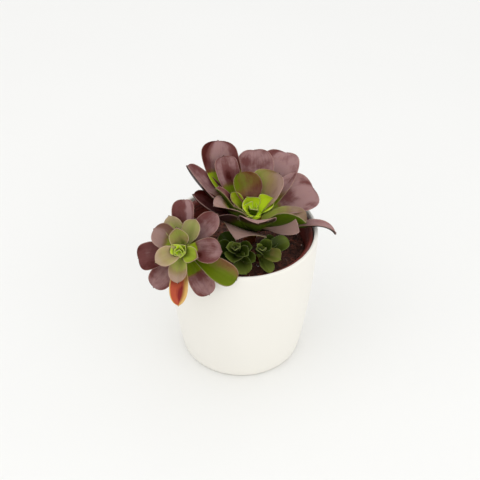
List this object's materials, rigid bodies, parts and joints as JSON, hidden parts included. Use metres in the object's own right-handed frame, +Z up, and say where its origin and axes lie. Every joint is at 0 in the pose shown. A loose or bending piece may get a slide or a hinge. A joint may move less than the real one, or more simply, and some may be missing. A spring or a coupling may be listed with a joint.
{
  "type": "potted aeonium",
  "caption": "Potted tree houseleek with purple-tipped, lime-hearted succulent rosettes and small green offsets, standing in a plain white tapered cover pot",
  "frame": {"origin": "centre of the cover pot's flat foot, on the surface it stands on", "axes": "+Z up along the pot's axis; -Y is the front, from which the picture was taken; +X to its right"},
  "size_m": [0.1595, 0.1559, 0.1763],
  "materials": {
    "cover_pot": "satin",
    "nursery_pot": "satin",
    "soil": "matte",
    "purple_leaves": "satin",
    "green_leaves": "satin"
  },
  "bodies": {
    "root": {"cover_pot": "cover_pot", "grow_pot": "nursery_pot", "soil": "soil", "main_rosette": "purple_leaves", "side_rosette": "purple_leaves", "front_offset": "green_leaves", "right_offset": "green_leaves"}
  },
  "joints": []
}
